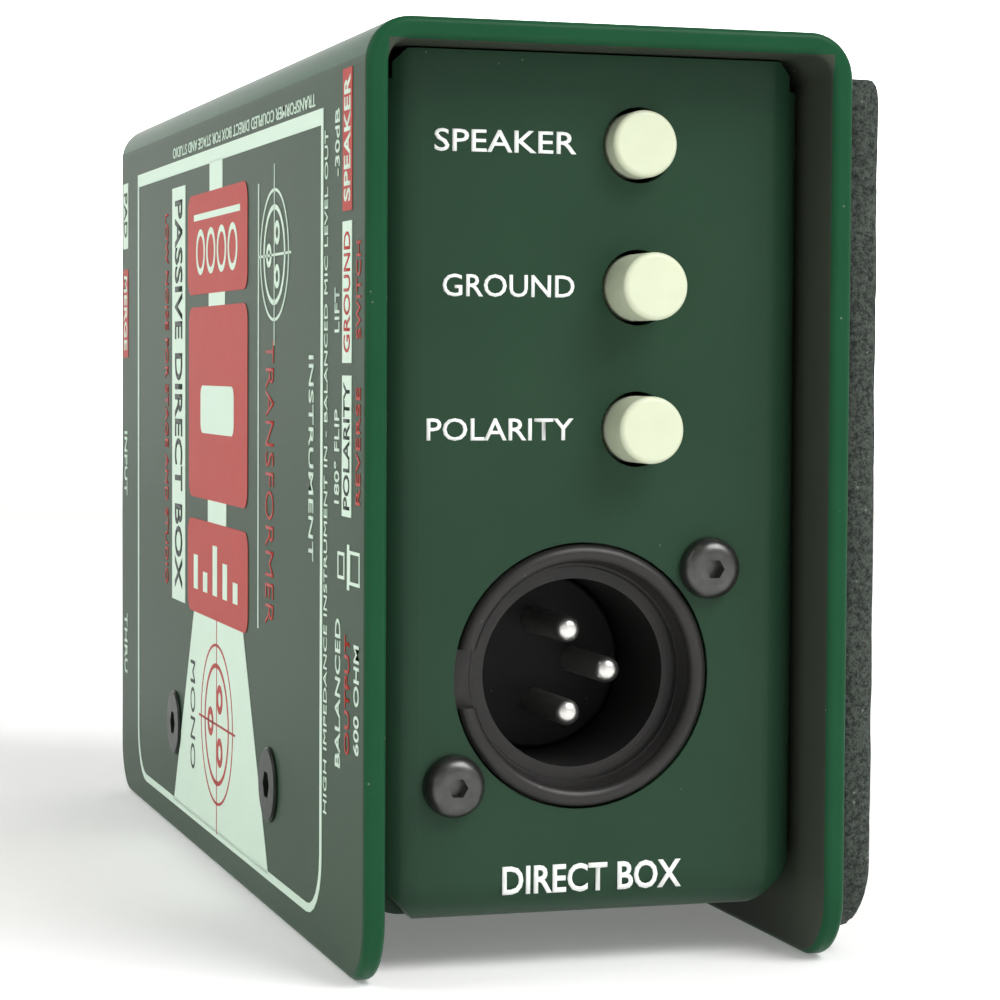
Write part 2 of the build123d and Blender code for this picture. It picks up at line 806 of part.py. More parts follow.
def make_transformer():
    """Transformer: can, base, laminated core, bobbin, two windings and the base's pins."""

    def at(lift):
        return can_axis_face.offset(lift)

    with BuildPart() as transformer_can:
        with BuildSketch(at(0)):
            Circle(can_dia / 2)
        extrude(amount=can_height)
        fillet(transformer_can.faces().sort_by(Axis.X)[0].edges(), can_edge)
        offset(amount=-can_wall, openings=transformer_can.faces().sort_by(Axis.X)[-1])
    save(transformer_can, "transformer_can")

    with BuildPart() as transformer_base:
        with BuildSketch(at(0)):
            Circle(can_dia / 2 - can_wall - base_fit)
            with PolarLocations(can_pin_circle, can_pin_count):
                Circle(can_pin_dia / 2, mode=Mode.SUBTRACT)
        extrude(amount=base_thick)
    save(transformer_base, "transformer_base")

    with BuildPart() as transformer_pins:
        with BuildSketch(at(-board_thickness - solder_tail)):
            with PolarLocations(can_pin_circle, can_pin_count):
                Circle(can_pin_dia / 2)
        extrude(amount=board_thickness + solder_tail + base_thick)
    save(transformer_pins, "transformer_pins")

    window = (core_width - core_leg - 2 * core_side) / 2
    window_height = core_height - 2 * core_side
    core_plane = Plane(
        origin=can_axis_face.offset(core_lift + core_height / 2).origin,
        x_dir=(0, 0, 1),
        z_dir=(0, 1, 0),
    )
    with BuildPart() as transformer_core:
        with BuildSketch(core_plane.offset(-core_stack / 2)):
            Rectangle(core_width, core_height)
            with Locations(*[(side * (core_leg + window) / 2, 0) for side in side_signs]):
                Rectangle(window, window_height, mode=Mode.SUBTRACT)
        extrude(amount=core_stack)
    save(transformer_core, "transformer_core")

    hole_x = core_leg + 2 * bobbin_play
    hole_y = core_stack + 2 * bobbin_play
    tube = 2 * bobbin_wall
    spool_height = window_height - 2 * bobbin_play
    spool_low = core_lift + core_side + bobbin_play
    flange_out = tube + 4 * winding_build + 2 * winding_gap
    with BuildPart() as transformer_bobbin:
        with BuildSketch(at(spool_low)):
            Rectangle(hole_x + tube, hole_y + tube)
        extrude(amount=spool_height)
        for lift in (spool_low, spool_low + spool_height - bobbin_flange):
            with BuildSketch(at(lift)):
                Rectangle(hole_x + flange_out, hole_y + flange_out)
            extrude(amount=bobbin_flange)
        with BuildSketch(at(spool_low)):
            Rectangle(hole_x, hole_y)
        extrude(amount=spool_height, mode=Mode.SUBTRACT)
    save(transformer_bobbin, "transformer_bobbin")

    inner = tube
    for winding in ("primary", "secondary"):
        outer = inner + 2 * winding_build
        with BuildPart() as coil:
            with BuildSketch(at(spool_low + bobbin_flange)):
                RectangleRounded(hole_x + outer, hole_y + outer, winding_build)
                Rectangle(hole_x + inner, hole_y + inner, mode=Mode.SUBTRACT)
            extrude(amount=spool_height - 2 * bobbin_flange)
        save(coil, f"transformer_{winding}_winding")
        inner = outer + 2 * winding_gap


def make_small_components():
    """Axial resistors and a film capacitor on the board, each with its leads."""
    lift = resistor_dia / 2 + slip
    reach = lift + board_thickness + lead_reach
    with BuildPart() as pad_resistors:
        for y in resistor_points():
            axis_x = board_x - lift
            row = Plane(origin=(axis_x, y, resistor_height))
            with BuildSketch(row.offset(-resistor_length / 2)):
                Circle(resistor_dia / 2)
            extrude(amount=resistor_length)
            with BuildSketch(row.offset(-(resistor_span + lead_size) / 2)):
                Rectangle(lead_size, lead_size)
            extrude(amount=resistor_span + lead_size)
            with BuildSketch(board_face.offset(-lift)):
                with Locations(
                    *[(y, resistor_height + end * resistor_span / 2) for end in side_signs]
                ):
                    Rectangle(lead_size, lead_size)
            extrude(amount=reach)
    save(pad_resistors, "pad_resistors")

    with BuildPart() as filter_capacitor:
        with BuildSketch(board_face):
            with Locations((can_centre_y, capacitor_height)):
                Rectangle(capacitor_length, capacitor_width)
        extrude(amount=-capacitor_tall)
        fillet(filter_capacitor.faces().sort_by(Axis.X)[0].edges(), capacitor_edge)
        with BuildSketch(board_face):
            for end in side_signs:
                lead_y = can_centre_y + end * (capacitor_length / 2 - lead_reach)
                with Locations((lead_y, capacitor_height)):
                    Rectangle(lead_size, lead_size)
        extrude(amount=board_thickness + lead_reach)
    save(filter_capacitor, "filter_capacitor")


make_cover()
make_chassis()
make_pad()
make_cover_fasteners()
for switch_name in button_heights:
    make_switch(switch_name)
make_output_connector()
for jack_name in jack_heights:
    make_jack(jack_name)
make_board()
make_transformer()
make_small_components()
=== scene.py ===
# %% [markdown]
# # A direct injection box
#
# A direct injection box is a small steel box that stands between an instrument and a mixing desk.
# A folded green cover slides over an inner chassis, and the chassis carries the push buttons, the
# output connector, two jacks, a circuit board and a transformer. The shapes are already made as CAD,
# so this lesson loads them as a fixed frame and gives them their looks: enamel, black oxide,
# silver plate, foam rubber and the printed graphics.

import math

import bpy
from mathutils import Matrix, Vector


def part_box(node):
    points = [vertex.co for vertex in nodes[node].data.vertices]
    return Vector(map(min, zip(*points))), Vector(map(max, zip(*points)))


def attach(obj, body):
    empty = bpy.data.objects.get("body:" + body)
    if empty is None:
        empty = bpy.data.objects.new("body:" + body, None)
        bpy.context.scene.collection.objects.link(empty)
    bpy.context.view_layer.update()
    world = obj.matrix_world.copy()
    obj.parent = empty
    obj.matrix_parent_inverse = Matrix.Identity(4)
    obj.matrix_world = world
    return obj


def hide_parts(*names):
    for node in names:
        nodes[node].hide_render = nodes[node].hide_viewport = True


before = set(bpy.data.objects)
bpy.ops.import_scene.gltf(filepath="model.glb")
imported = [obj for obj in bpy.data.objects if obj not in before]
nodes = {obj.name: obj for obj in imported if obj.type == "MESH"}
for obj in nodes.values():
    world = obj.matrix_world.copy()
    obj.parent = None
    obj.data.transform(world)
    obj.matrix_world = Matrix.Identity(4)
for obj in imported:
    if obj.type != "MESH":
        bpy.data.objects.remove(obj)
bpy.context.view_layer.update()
MM = 0.001

# %% [markdown]
# Everything that is printed or stuck on the box is placed from the CAD pieces. The graphics side is
# the outside of the cover's left wall, and the front panel is the end of the chassis that sits a few
# millimetres inside the cover.

# %% Find the faces that carry print
cover_low, cover_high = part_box("cover_shell")
chassis_low, chassis_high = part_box("inner_chassis")
graphics_face = cover_low.x
cover_front = cover_low.y
front_panel = chassis_low.y
rear_panel = chassis_high.y
print("graphics side at x", round(graphics_face / MM, 2), "front panel at y", round(front_panel / MM, 2))

# %% [markdown]
# ## Small hand tools
#
# An operator works on everything that is selected, so each step starts by clearing the selection.
# Points, edges and faces are then chosen by their place or direction, as a hand would click them.

# %% Clear, open and close a piece
def clear():
    """Leaves edit mode and deselects everything."""
    if bpy.context.object and bpy.context.object.mode != "OBJECT":
        bpy.ops.object.mode_set(mode="OBJECT")
    bpy.ops.object.select_all(action="DESELECT")


def take(*pieces):
    """Selects just these pieces, the last one active."""
    clear()
    for piece in pieces:
        piece.select_set(True)
        bpy.context.view_layer.objects.active = piece


def settle(piece):
    """Moves a piece's place, turn and size into its mesh, so that its object sits at the origin."""
    take(piece)
    bpy.ops.object.transform_apply(location=True, rotation=True, scale=True)


def choose(piece, kind, test):
    """Opens a piece for editing with the points, edges or faces that pass a test selected."""
    take(piece)
    bpy.ops.object.mode_set(mode="EDIT")
    bpy.ops.mesh.select_mode(type=kind)
    bpy.ops.mesh.select_all(action="DESELECT")
    bpy.ops.object.mode_set(mode="OBJECT")
    mesh = piece.data
    if kind == "VERT":
        for point in mesh.vertices:
            point.select = test(point.co)
    elif kind == "EDGE":
        for edge in mesh.edges:
            start, end = (mesh.vertices[number].co for number in edge.vertices)
            edge.select = test((start + end) / 2, (end - start).normalized())
    else:
        for face in mesh.polygons:
            face.select = test(face.center, face.normal)
    bpy.ops.object.mode_set(mode="EDIT")


def close():
    """Leaves edit mode."""
    bpy.ops.object.mode_set(mode="OBJECT")


def finish_with(piece, kind, **settings):
    """Adds a modifier with its settings and applies it."""
    take(piece)
    modifier = piece.modifiers.new(kind.title(), kind)
    for name, value in settings.items():
        setattr(modifier, name, value)
    bpy.ops.object.modifier_apply(modifier=modifier.name)


def join(name, pieces):
    """Makes one piece of several."""
    take(*pieces)
    if len(pieces) > 1:
        bpy.ops.object.join()
    bpy.context.object.name = name
    return bpy.context.object


# %% [markdown]
# ## Studio
#
# The box stands on a plain pale floor that curves up far away on every side, so that no view shows
# a horizon. A circle is filled, its rim is pulled out and up in two steps, and the fold is rounded.

# %% Make the floor
clear()
bpy.ops.mesh.primitive_circle_add(vertices=96, radius=1.6, fill_type="NGON", location=(0, 0, -0.1 * MM))
floor = bpy.context.object
floor.name = "studio_floor"
settle(floor)
choose(floor, "EDGE", lambda middle, along: middle.xy.length > 1.5)
bpy.ops.mesh.extrude_edges_move()
bpy.ops.transform.resize(value=(1.5, 1.5, 1))
bpy.ops.mesh.extrude_edges_move(TRANSFORM_OT_translate={"value": (0, 0, 1.4)})
bpy.ops.transform.resize(value=(1.15, 1.15, 1))
close()
choose(floor, "EDGE", lambda middle, along: 2.2 < middle.xy.length < 2.5 and middle.z < 0.1)
bpy.ops.mesh.bevel(offset=0.55, segments=12)
close()
bpy.ops.object.shade_smooth()
print("floor", [round(side, 2) for side in floor.dimensions], "m")

# %% [markdown]
# ## Shader sums written as sums
#
# A finish is a graph of nodes. One small class wraps an output socket, so that a sum of wrapped
# sockets adds its own Math nodes. Another wraps the material and adds any other node in one call:
# first its settings, then what goes into its sockets.

# %% The two shader classes
def paint_code(red, green, blue):
    """A colour given as eight-bit numbers, in the linear form that a shader reads."""
    parts = [channel / 255 for channel in (red, green, blue)]
    return tuple(p / 12.92 if p <= 0.04045 else ((p + 0.055) / 1.055) ** 2.4 for p in parts) + (1,)


class Wire:
    """An output socket. Sums with it add Math nodes."""

    def __init__(self, finish, socket):
        self.finish = finish
        self.socket = socket

    def sum(self, operation, first, second):
        return self.finish.node("Math", {"operation": operation}, {0: first, 1: second})

    def __add__(self, other):
        return self.sum("ADD", self, other)

    def __radd__(self, other):
        return self.sum("ADD", other, self)

    def __sub__(self, other):
        return self.sum("SUBTRACT", self, other)

    def __rsub__(self, other):
        return self.sum("SUBTRACT", other, self)

    def __mul__(self, other):
        return self.sum("MULTIPLY", self, other)

    def __rmul__(self, other):
        return self.sum("MULTIPLY", other, self)

    def __truediv__(self, other):
        return self.sum("DIVIDE", self, other)

    def __lt__(self, other):
        return self.sum("LESS_THAN", self, other)

    def __gt__(self, other):
        return self.sum("GREATER_THAN", self, other)


class Finish:
    """A material with one Principled shader, and short ways to feed it."""

    def __init__(self, name, **constants):
        self.material = bpy.data.materials.new(name)
        self.material.use_nodes = True
        self.tree = self.material.node_tree
        self.shader = self.tree.nodes["Principled BSDF"]
        for socket, value in constants.items():
            self.shader.inputs[socket.replace("_", " ")].default_value = value

    def feed(self, socket, value):
        if isinstance(value, Wire):
            self.tree.links.new(value.socket, socket)
        else:
            socket.default_value = value

    def node(self, kind, settings=None, sockets=None, out=0):
        made = self.tree.nodes.new("ShaderNode" + kind)
        for name, value in (settings or {}).items():
            setattr(made, name, value)
        for name, value in (sockets or {}).items():
            self.feed(made.inputs[name], value)
        return Wire(self, made.outputs[out])

    def place(self, centre=(0, 0, 0), scale=(1, 1, 1)):
        """Object coordinates measured from a centre."""
        here = self.node("TexCoord", out="Object")
        shift = tuple(-c * s for c, s in zip(centre, scale))
        return self.node("Mapping", None, {"Vector": here, "Location": shift, "Scale": scale})

    def axis(self, name):
        """One Object coordinate, in millimetres."""
        return self.node("SeparateXYZ", None, {0: self.node("TexCoord", out="Object")}, name) * 1000

    def grain(self, size, detail=2.0, where=None):
        """Noise whose lumps are about this many millimetres across."""
        where = where or self.node("TexCoord", out="Object")
        return self.node("TexNoise", None, {"Vector": where, "Scale": 1000 / size, "Detail": detail})

    def ramp(self, value, low, high, start=0.0, end=1.0):
        """Turns low to high into start to end, softly, and holds it outside."""
        sockets = {0: value, 1: low, 2: high, 3: start, 4: end}
        return self.node("MapRange", {"interpolation_type": "SMOOTHSTEP"}, sockets)

    def specks(self, spacing, size, share):
        """Small dots, a share of the cells of a loose grid."""
        where = self.node("TexCoord", out="Object")
        sockets = {"Vector": where, "Scale": 1000 / spacing}
        near = self.node("TexVoronoi", None, sockets, "Distance")
        cell = self.node("TexVoronoi", None, sockets, "Color")
        luck = self.node("SeparateColor", None, {0: cell}, "Red")
        return self.ramp(near, size * 0.5, size, 1.0, 0.0) * (luck < share)

    def blend(self, mask, first, second):
        """The first colour where the mask is 0, the second where it is 1."""
        sockets = {0: mask, 6: first, 7: second}
        return self.node("Mix", {"data_type": "RGBA"}, sockets, 2)

    def relief(self, height, depth, strength=1.0):
        """Bumps that are this many millimetres deep."""
        sockets = {"Height": height, "Distance": depth * MM, "Strength": strength}
        return self.node("Bump", None, sockets)

    def use(self, **wires):
        """Feeds the shader's sockets and returns the material."""
        for socket, value in wires.items():
            self.feed(self.shader.inputs[socket.replace("_", " ")], value)
        return self.material


# %% Dress CAD pieces
dressed = set()


def dress(material, *names):
    """Puts a finish on the CAD pieces whose names end with these words."""
    for name, piece in nodes.items():
        if any(name.endswith(word) for word in names):
            piece.data.materials.clear()
            piece.data.materials.append(material)
            dressed.add(name)


# %% Finish for the floor
pale_floor = Finish("studio_floor_paper", Roughness=0.9, Specular_IOR_Level=0.1, Emission_Strength=0.2)
fibre = pale_floor.grain(4.0, 3.0)
paper = pale_floor.blend(fibre, paint_code(246, 246, 245), paint_code(250, 250, 249))
pale_floor.use(Base_Color=paper, Emission_Color=paper)
floor.data.materials.append(pale_floor.material)

# %% [markdown]
# ## Enamel
#
# The cover is powder painted: a green with a very fine orange peel, a few specks of dust caught in
# it, and a duller lacquer on the printed side, whose greyer green is a painted sheen of grazing light
# on the same enamel. The chassis has a smoother coat of the same green. Both are steel underneath,
# so the relief stays shallow and the edges stay crisp.

# %% Finish for the cover
cover_paint = Finish("cover_enamel", IOR=1.5, Specular_IOR_Level=0.08)
left_to_right = cover_paint.axis("X")
printed_side = left_to_right < (graphics_face / MM + 0.05)
within_walls = (left_to_right > cover_low.x / MM + 1.95) * (left_to_right < cover_high.x / MM - 1.95)
inside = within_walls * (cover_paint.axis("Z") < cover_high.z / MM - 1.95)
cloud = cover_paint.grain(9.0, 3.0)
peel = cover_paint.grain(0.7, 2.0)
fine = cover_paint.grain(0.22, 2.0)
dust = cover_paint.specks(1.5, 0.09, 0.3)
plain_green = cover_paint.blend(cloud, paint_code(22, 70, 44), paint_code(30, 80, 52))
# Painted sheen: the printed side's greyer green stands in for grazing light on the same enamel.
side_green_painted_sheen = cover_paint.blend(fine, paint_code(30, 52, 36), paint_code(50, 76, 54))
green = cover_paint.blend(printed_side, plain_green, side_green_painted_sheen)
green = cover_paint.blend(inside, green, paint_code(64, 70, 60))
lint = cover_paint.specks(0.9, 0.16, 0.3) * inside
green = cover_paint.blend(dust * 0.3 + lint * 0.6, green, paint_code(170, 180, 165))
height = peel * 0.5 + fine * (0.15 + printed_side * 0.6)
dress(
    cover_paint.use(
        Base_Color=green,
        Roughness=0.32 + printed_side * 0.06 + inside * 0.12 + fine * 0.04,
        Normal=cover_paint.relief(height, 0.01, 0.3),
    ),
    "cover_shell",
)
print("the cover's finish has", len(cover_paint.tree.nodes), "nodes")

# %% Finish for the chassis
chassis_paint = Finish("chassis_enamel", IOR=1.5, Specular_IOR_Level=0.15)
cloud = chassis_paint.grain(14.0, 3.0)
peel = chassis_paint.grain(1.1, 1.0)
dust = chassis_paint.specks(2.2, 0.05, 0.10)
green = chassis_paint.blend(cloud, paint_code(33, 60, 43), paint_code(41, 68, 50))
green = chassis_paint.blend(dust * 0.4, green, paint_code(150, 165, 150))
dress(
    chassis_paint.use(
        Base_Color=green,
        Roughness=0.26 + cloud * 0.08,
        Normal=chassis_paint.relief(peel, 0.006, 0.4),
    ),
    "inner_chassis",
)

# %% [markdown]
# ## Black parts
#
# The output connector's shell is black-plated zinc. It was turned, so very fine rings run round its
# axis; they are drawn from the distance to that axis. Its insert is a plain black moulding. The
# screws are black oxide: dark steel with a soft, slightly blotchy shine.

# %% Finish for the connector shell
mouth_low, mouth_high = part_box("xlr_insert")
mouth_centre = (mouth_low + mouth_high) / 2
cast_black = Finish("cast_shell_black", Metallic=0.35, IOR=1.5)
spokes = cast_black.place(mouth_centre, (1, 0, 1))
radius = cast_black.node("VectorMath", {"operation": "LENGTH"}, {0: spokes}, "Value") * 1000
rings = cast_black.node("Math", {"operation": "SINE"}, {0: radius * 18 + cast_black.grain(3.0) * 2})
pores = cast_black.grain(0.25, 3.0)
soot = cast_black.blend(cast_black.grain(5.0), paint_code(34, 33, 33), paint_code(50, 48, 47))
dust = cast_black.specks(1.4, 0.08, 0.2)
dress(
    cast_black.use(
        Base_Color=cast_black.blend(dust * 0.3, soot, paint_code(140, 138, 132)),
        Roughness=0.34 + pores * 0.14,
        Normal=cast_black.relief(rings * 0.5 + pores, 0.008, 0.45),
    ),
    "xlr_shell",
)

# %% Finish for the black mouldings
moulding = Finish("black_moulding", IOR=1.48, Specular_IOR_Level=0.25)
fleck = moulding.grain(0.3, 3.0)
tone = moulding.blend(moulding.grain(4.0), paint_code(6, 6, 6), paint_code(13, 12, 12))
dust = moulding.specks(1.2, 0.08, 0.22)
dress(
    moulding.use(
        Base_Color=moulding.blend(dust * 0.25, tone, paint_code(150, 148, 140)),
        Roughness=0.42 + fleck * 0.16,
        Normal=moulding.relief(fleck, 0.01, 0.4),
    ),
    "xlr_insert",
    "switch_housing",
    "jack_body",
    "transformer_base",
)

# %% Finish for the screws
def oxide_steel(name, dark, light, **constants):
    """Blackened steel: two close tones in blotches, with fine scratches."""
    oxide = Finish(name, **constants)
    blotch = oxide.grain(1.2, 4.0)
    scratch = oxide.grain(0.5, 2.0, oxide.place(scale=(1, 1, 8)))
    return oxide.use(
        Base_Color=oxide.blend(blotch, dark, light),
        Roughness=0.22 + blotch * 0.2,
        Normal=oxide.relief(blotch * 0.6 + scratch * 0.4, 0.015, 0.4),
    )


bright_oxide = oxide_steel(
    "black_oxide_steel", paint_code(60, 60, 60), paint_code(106, 106, 104), Metallic=0.9
)
dress(bright_oxide, "xlr_screws")
dull_oxide = oxide_steel(
    "dull_oxide_steel", paint_code(20, 26, 22), paint_code(40, 48, 42), Specular_IOR_Level=0.1
)
dress(dull_oxide, "cover_screws")

# %% [markdown]
# ## Bright parts
#
# Contact pins are silver plated and polished, jack bushings and nuts are nickel, tags and leads are
# tinned. Each is a metal whose roughness and colour wander a little, with fine marks along the way
# it was turned or drawn.

# %% A bright metal
def bright_metal(name, dark, light, shine, marks):
    """A plated metal: two close tones, a roughness, and marks stretched along one axis."""
    metal = Finish(name, Metallic=1.0)
    film = metal.grain(2.5, 3.0)
    lines = metal.grain(0.18, 2.0, metal.place(scale=marks))
    return metal.use(
        Base_Color=metal.blend(film, dark, light),
        Roughness=shine + film * 0.08 + lines * 0.08,
        Normal=metal.relief(lines, 0.004, 0.35),
    )


across_y = (1, 8, 1)
across_z = (1, 1, 8)
silver = bright_metal("silver_plate", paint_code(222, 221, 216), paint_code(246, 245, 241), 0.24, across_y)
dress(silver, "xlr_pin_1", "xlr_pin_2", "xlr_pin_3", "jack_tip_contact", "jack_sleeve_contact")
nickel = bright_metal("nickel_plate", paint_code(186, 183, 176), paint_code(214, 211, 203), 0.2, across_y)
dress(nickel, "jack_bushing", "jack_nut", "jack_washer")
tin = bright_metal("tinned_brass", paint_code(176, 172, 160), paint_code(206, 203, 193), 0.34, across_z)
dress(tin, "xlr_solder_tails", "switch_terminals", "transformer_pins")
zinc = bright_metal("zinc_plate", paint_code(150, 152, 152), paint_code(188, 190, 190), 0.3, across_z)
dress(zinc, "clinch_nuts")
wire = bright_metal("spring_wire", paint_code(120, 120, 122), paint_code(168, 168, 170), 0.26, across_z)
dress(wire, "return_spring")
can = bright_metal("can_metal", paint_code(150, 148, 142), paint_code(184, 182, 175), 0.36, across_z)
dress(can, "transformer_can")

# %% [markdown]
# ## Buttons
#
# The caps are pale ivory plastic with a faint green in it. Light goes a little way in, so they get
# some subsurface scattering, a satin face and a very fine mould texture.

# %% Finish for the caps and plungers
ivory = Finish("cap_ivory", IOR=1.49, Subsurface_Weight=0.12, Subsurface_Scale=0.0015)
ivory.shader.inputs["Subsurface Radius"].default_value = (1.0, 0.9, 0.6)
tone = ivory.blend(ivory.grain(2.4, 3.0), paint_code(205, 212, 184), paint_code(214, 221, 194))
pit = ivory.grain(0.16, 2.0)
dirt = ivory.specks(1.3, 0.05, 0.12)
dress(
    ivory.use(
        Base_Color=ivory.blend(dirt * 0.3, tone, paint_code(150, 146, 120)),
        Roughness=0.36 + pit * 0.12,
        Normal=ivory.relief(pit, 0.006, 0.35),
    ),
    "button_cap",
)
acetal = Finish("natural_acetal", IOR=1.48)
pit = acetal.grain(0.3, 3.0)
dress(
    acetal.use(
        Base_Color=acetal.blend(acetal.grain(2.0), paint_code(214, 214, 204), paint_code(228, 228, 220)),
        Roughness=0.4 + pit * 0.15,
        Normal=acetal.relief(pit, 0.006, 0.4),
    ),
    "switch_plunger",
)

# %% [markdown]
# ## Inside the box
#
# The board has green solder mask over copper tracks, which show as slightly lighter lines. The
# transformer has a laminated core, a nylon bobbin and copper windings, whose turns are a fine
# wave across the wire. The resistors carry colour bands along their length.

# %% Finish for the board
mask_green = Finish("solder_mask", IOR=1.5)
flat_place = mask_green.place(scale=(0, 1, 1))
grid = {"Vector": mask_green.node("Mapping", None, {"Vector": flat_place, "Rotation": (0, math.pi / 2, 0)})}
grid.update({"Scale": 190.0, "Mortar Size": 0.028, "Mortar Smooth": 0.2})
track = mask_green.node("TexBrick", {"offset": 0.5, "squash": 0.6}, grid, 1)
glass = mask_green.grain(0.4, 2.0)
tone = mask_green.blend(track, paint_code(18, 74, 44), paint_code(58, 122, 74))
dress(
    mask_green.use(
        Base_Color=mask_green.blend(glass * 0.2, tone, paint_code(80, 130, 90)),
        Roughness=0.3 + glass * 0.12,
        Normal=mask_green.relief(track + glass * 0.1, 0.03, 0.6),
    ),
    "main_board",
)

# %% Finish for the windings and the core
copper = Finish("winding_wire", Metallic=0.85)
turns = copper.node("Math", {"operation": "SINE"}, {0: copper.axis("Z") * 22 + copper.grain(3.0) * 3})
tone = copper.blend(copper.grain(1.5), paint_code(168, 84, 40), paint_code(206, 120, 66))
dress(
    copper.use(Base_Color=tone, Roughness=0.3 + turns * 0.05, Normal=copper.relief(turns, 0.06, 0.8)),
    "primary_winding",
    "secondary_winding",
)
sheets = Finish("core_sheets", Metallic=0.9)
edges = sheets.node("Math", {"operation": "SINE"}, {0: sheets.axis("X") * 16})
rust = sheets.grain(1.4, 4.0)
dress(
    sheets.use(
        Base_Color=sheets.blend(rust, paint_code(96, 96, 100), paint_code(140, 138, 136)),
        Roughness=0.36 + rust * 0.2,
        Normal=sheets.relief(edges + rust * 0.2, 0.05, 0.8),
    ),
    "transformer_core",
)
nylon = Finish("bobbin_nylon", IOR=1.53, Subsurface_Weight=0.1, Subsurface_Scale=0.001)
pit = nylon.grain(0.5, 3.0)
dress(
    nylon.use(
        Base_Color=nylon.blend(nylon.grain(3.0), paint_code(224, 216, 184), paint_code(238, 232, 206)),
        Roughness=0.42 + pit * 0.14,
        Normal=nylon.relief(pit, 0.01, 0.4),
    ),
    "transformer_bobbin",
)

# %% Finish for the resistors and the capacitor
resistor_low, resistor_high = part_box("pad_resistors")
resistor_middle = (resistor_low.z + resistor_high.z) / 2 / MM
lacquer = Finish("resistor_lacquer", IOR=1.5)
along = lacquer.axis("Z") - resistor_middle
tone = lacquer.blend(lacquer.grain(1.0), paint_code(120, 168, 196), paint_code(146, 190, 214))
bands = [(-1.8, (160, 60, 30)), (-0.9, (40, 40, 40)), (0.0, (190, 40, 40)), (0.9, (150, 110, 40))]
for middle, code in bands:
    near = lacquer.node("Math", {"operation": "ABSOLUTE"}, {0: along - middle})
    tone = lacquer.blend(near < 0.25, tone, paint_code(*code))
lead = lacquer.node("Math", {"operation": "ABSOLUTE"}, {0: along}) > 3.2
dress(
    lacquer.use(
        Base_Color=lacquer.blend(lead, tone, paint_code(190, 188, 180)),
        Metallic=lead * 1.0,
        Roughness=0.28 + lacquer.grain(0.4) * 0.1,
    ),
    "pad_resistors",
)
film_box = Finish("capacitor_red", IOR=1.5)
pit = film_box.grain(0.4, 3.0)
dress(
    film_box.use(
        Base_Color=film_box.blend(film_box.grain(2.0), paint_code(176, 36, 30), paint_code(196, 50, 42)),
        Roughness=0.3 + pit * 0.15,
        Normal=film_box.relief(pit, 0.01, 0.4),
    ),
    "filter_capacitor",
)
print("CAD pieces still undressed:", sorted(set(nodes) - dressed))

# %% [markdown]
# ## Foam pad
#
# A sheet of foam rubber is stuck to the far wall so that the box stays where it is put on its side.
# Its faces have a skin full of tiny open cells and its cut edge is slightly wavy. It starts as a
# block at the CAD size, its corners are rounded, two holes clear the screws, and a fine even mesh
# lets a soft noise push the cut edge in and out.

# %% Cut the foam sheet
pad_low, pad_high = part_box("no_slip_pad")
pad_middle = (pad_low + pad_high) / 2
pad_size = pad_high - pad_low
top_corner = 1.5 * MM
lower_corner = 8 * MM
clear()
bpy.ops.mesh.primitive_cube_add(size=1, location=pad_middle)
pad = bpy.context.object
pad.name = "foam_pad"
pad.scale = (pad_size.x - 0.1 * MM, pad_size.y - 0.2 * MM, pad_size.z - 0.2 * MM)
settle(pad)
choose(pad, "EDGE", lambda middle, along: abs(along.x) > 0.9 and middle.z > pad_middle.z)
bpy.ops.mesh.bevel(offset=top_corner, segments=4)
close()
choose(pad, "EDGE", lambda middle, along: abs(along.x) > 0.9 and middle.z < pad_middle.z - 10 * MM)
bpy.ops.mesh.bevel(offset=lower_corner, segments=10)
close()
print("foam block", [round(side / MM, 2) for side in pad.dimensions], "mm")

# %% Punch the two holes
screw_low, screw_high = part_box("cover_screws")
screw_height = (screw_low.z + screw_high.z) / 2
half_pitch = 25.4 * MM
hole_radius = 5.0 * MM
punches = []
for side in (-1, 1):
    clear()
    place = (pad_middle.x, side * half_pitch, screw_height)
    bpy.ops.mesh.primitive_cylinder_add(
        vertices=40, radius=hole_radius, depth=12 * MM, location=place, rotation=(0, math.pi / 2, 0)
    )
    punches.append(bpy.context.object)
    settle(punches[-1])
punch = join("punch", punches)
finish_with(pad, "BOOLEAN", operation="DIFFERENCE", object=punch, solver="EXACT")
bpy.data.objects.remove(punch)
print("foam with holes", len(pad.data.polygons), "faces")

# %% Give the foam its soft, slightly wavy surface
finish_with(pad, "REMESH", mode="VOXEL", voxel_size=0.75 * MM)
finish_with(pad, "SMOOTH", factor=0.5, iterations=3)
lumps = bpy.data.textures.new("foam_lumps", "CLOUDS")
lumps.noise_scale = 5 * MM
finish_with(pad, "DISPLACE", texture=lumps, texture_coords="LOCAL", strength=0.2 * MM, mid_level=0.5)
take(pad)
bpy.ops.object.shade_smooth()
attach(pad, "box")
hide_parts("no_slip_pad")
print("foam surface", len(pad.data.polygons), "faces", [round(s / MM, 2) for s in pad.dimensions], "mm")

# %% Finish for the foam
foam = Finish("foam_rubber", Specular_IOR_Level=0.2)
crumb = foam.grain(0.5, 5.0)
pore = foam.grain(0.2, 2.0)
shade = foam.ramp(crumb * 0.6 + pore * 0.5, 0.38, 0.72)
tone = foam.blend(shade, paint_code(34, 37, 35), paint_code(78, 85, 79))
glint = foam.specks(0.8, 0.2, 0.1)
foam.use(
    Base_Color=foam.blend(glint * 0.4, tone, paint_code(150, 158, 150)),
    Roughness=0.78 + crumb * 0.2,
    Normal=foam.relief(crumb + pore * 0.6, 0.14, 0.9),
)
pad.data.materials.clear()
pad.data.materials.append(foam.material)

# %% [markdown]
# ## Ink
#
# The graphics are screen printed in a pale mint, a red and a dark green. Ink stands a few hundredths
# of a millimetre proud, so each print is a very thin plate. Flat shapes are planes shaped by hand,
# and lettering is text made a mesh; both get their thickness from Solidify.

